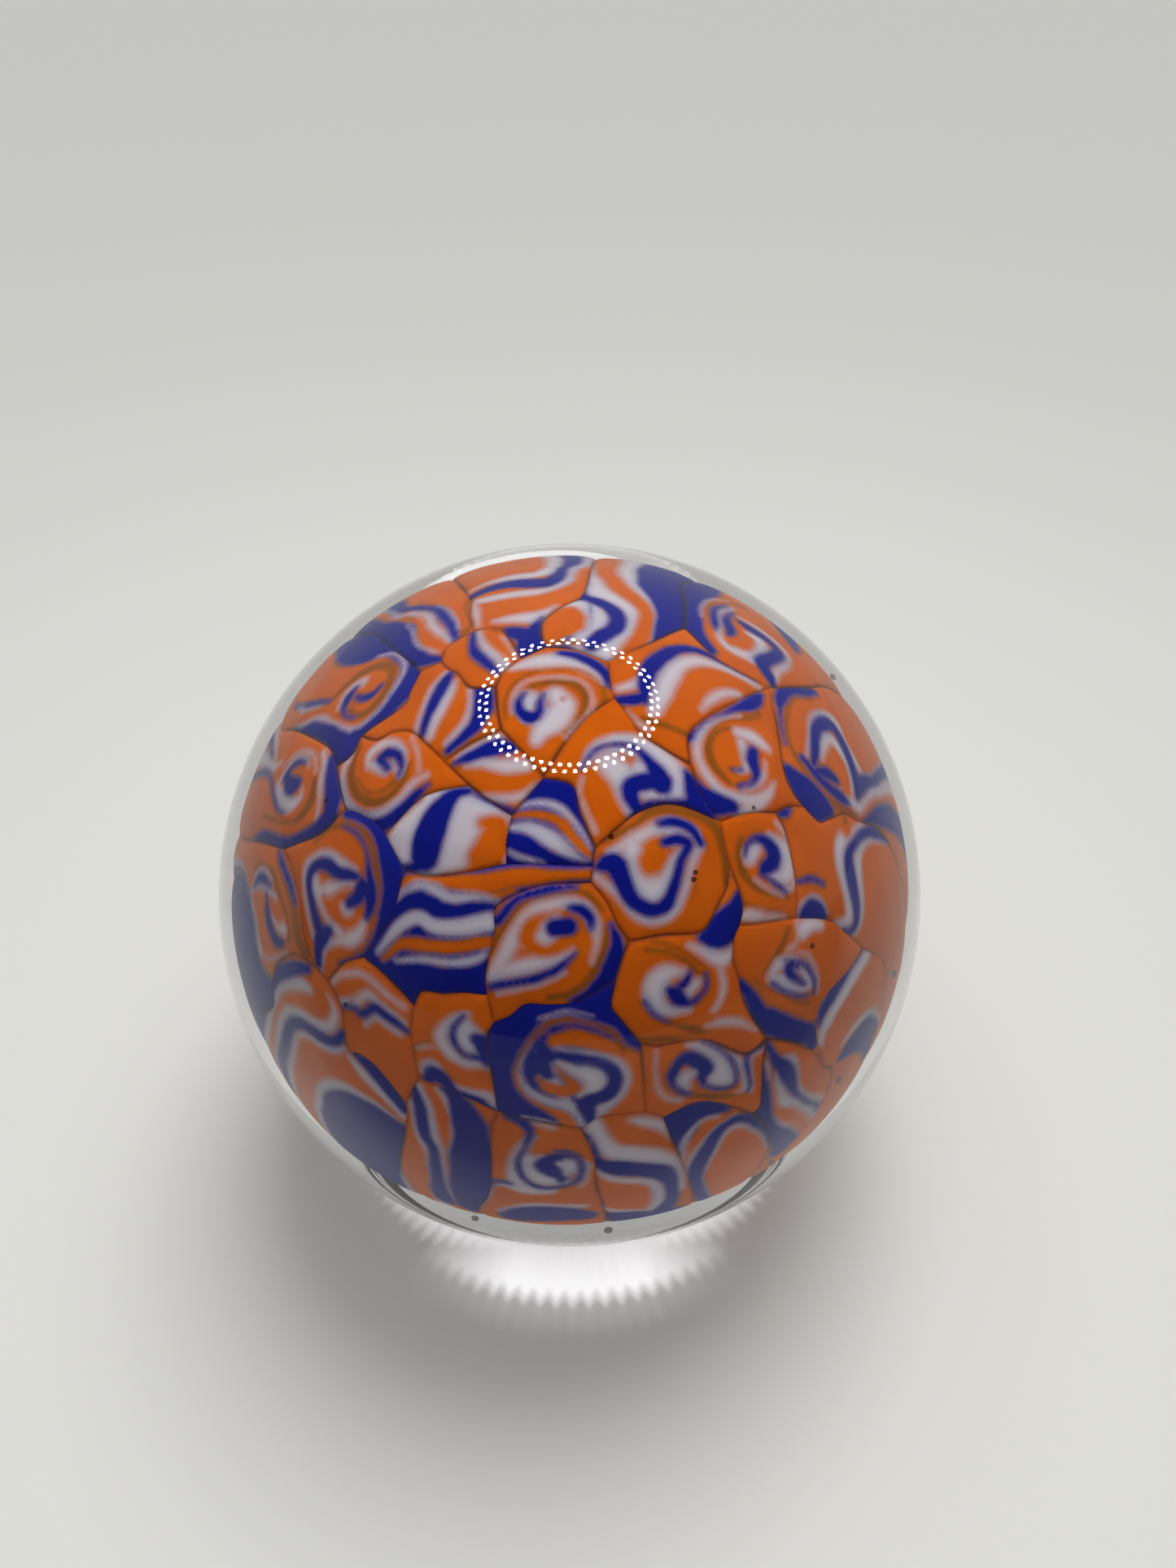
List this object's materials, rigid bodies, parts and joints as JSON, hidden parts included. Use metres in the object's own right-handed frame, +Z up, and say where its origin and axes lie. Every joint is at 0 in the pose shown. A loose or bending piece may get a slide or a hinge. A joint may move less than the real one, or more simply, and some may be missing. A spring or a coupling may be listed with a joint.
{
  "type": "glass paperweight",
  "caption": "Clear glass ball paperweight with a flat base and an inner layer of patterned orange, blue and white glass slices.",
  "frame": {"origin": "centre of the flat base", "axes": "+Z up through the crown of the ball, -Y towards the front, +X to the right"},
  "size_m": [0.08, 0.08, 0.075],
  "materials": {
    "clear_glass": "polished clear glass, ground and polished flat under the base",
    "patterned_glass": "smooth coloured cane glass in orange, cobalt blue and milky white, sealed in clear glass"
  },
  "bodies": {
    "root": {"clear_casing": "clear_glass", "clear_core": "clear_glass", "slice_01_blue_wave": "patterned_glass", "slice_02_orange_bulb": "patterned_glass", "slice_03_long_spiral": "patterned_glass", "slice_04_narrow_fan": "patterned_glass", "slice_05_ring_and_lobe": "patterned_glass", "slice_06_blue_ribbon": "patterned_glass", "slice_07_small_stripes": "patterned_glass", "slice_08_crown_swirl": "patterned_glass", "slice_09_left_comma": "patterned_glass", "slice_10_tall_lobe": "patterned_glass", "slice_11_left_back": "patterned_glass", "slice_12_thin_corner": "patterned_glass", "slice_13_blue_arc": "patterned_glass", "slice_14_right_comma": "patterned_glass", "slice_15_white_ring": "patterned_glass", "slice_16_blue_arch": "patterned_glass", "slice_17_blue_s": "patterned_glass", "slice_18_small_arc": "patterned_glass", "slice_19_front_hook": "patterned_glass", "slice_20_right_swirl": "patterned_glass", "slice_21_zigzag": "patterned_glass", "slice_22_low_wave": "patterned_glass", "slice_23_teardrop": "patterned_glass", "slice_24_left_hook": "patterned_glass", "slice_25_narrow_swirl": "patterned_glass", "slice_26_plain_blue": "patterned_glass", "slice_27_big_left": "patterned_glass", "slice_28_short_bands": "patterned_glass", "slice_29_dark_spiral": "patterned_glass", "slice_30_orange_blob": "patterned_glass", "slice_31_right_bands": "patterned_glass", "slice_32_right_stripes": "patterned_glass", "slice_33_ring_swirl": "patterned_glass", "slice_34_left_bands": "patterned_glass", "slice_35_front_spiral": "patterned_glass", "slice_36_twin_comma": "patterned_glass", "slice_37_front_comma": "patterned_glass", "slice_38_front_bands": "patterned_glass", "slice_39_orange_oval": "patterned_glass", "slice_40_back": "patterned_glass", "slice_41_back": "patterned_glass", "slice_42_back": "patterned_glass", "slice_43_back": "patterned_glass", "slice_44_back": "patterned_glass", "slice_45_back": "patterned_glass", "slice_46_back": "patterned_glass"}
  },
  "joints": []
}
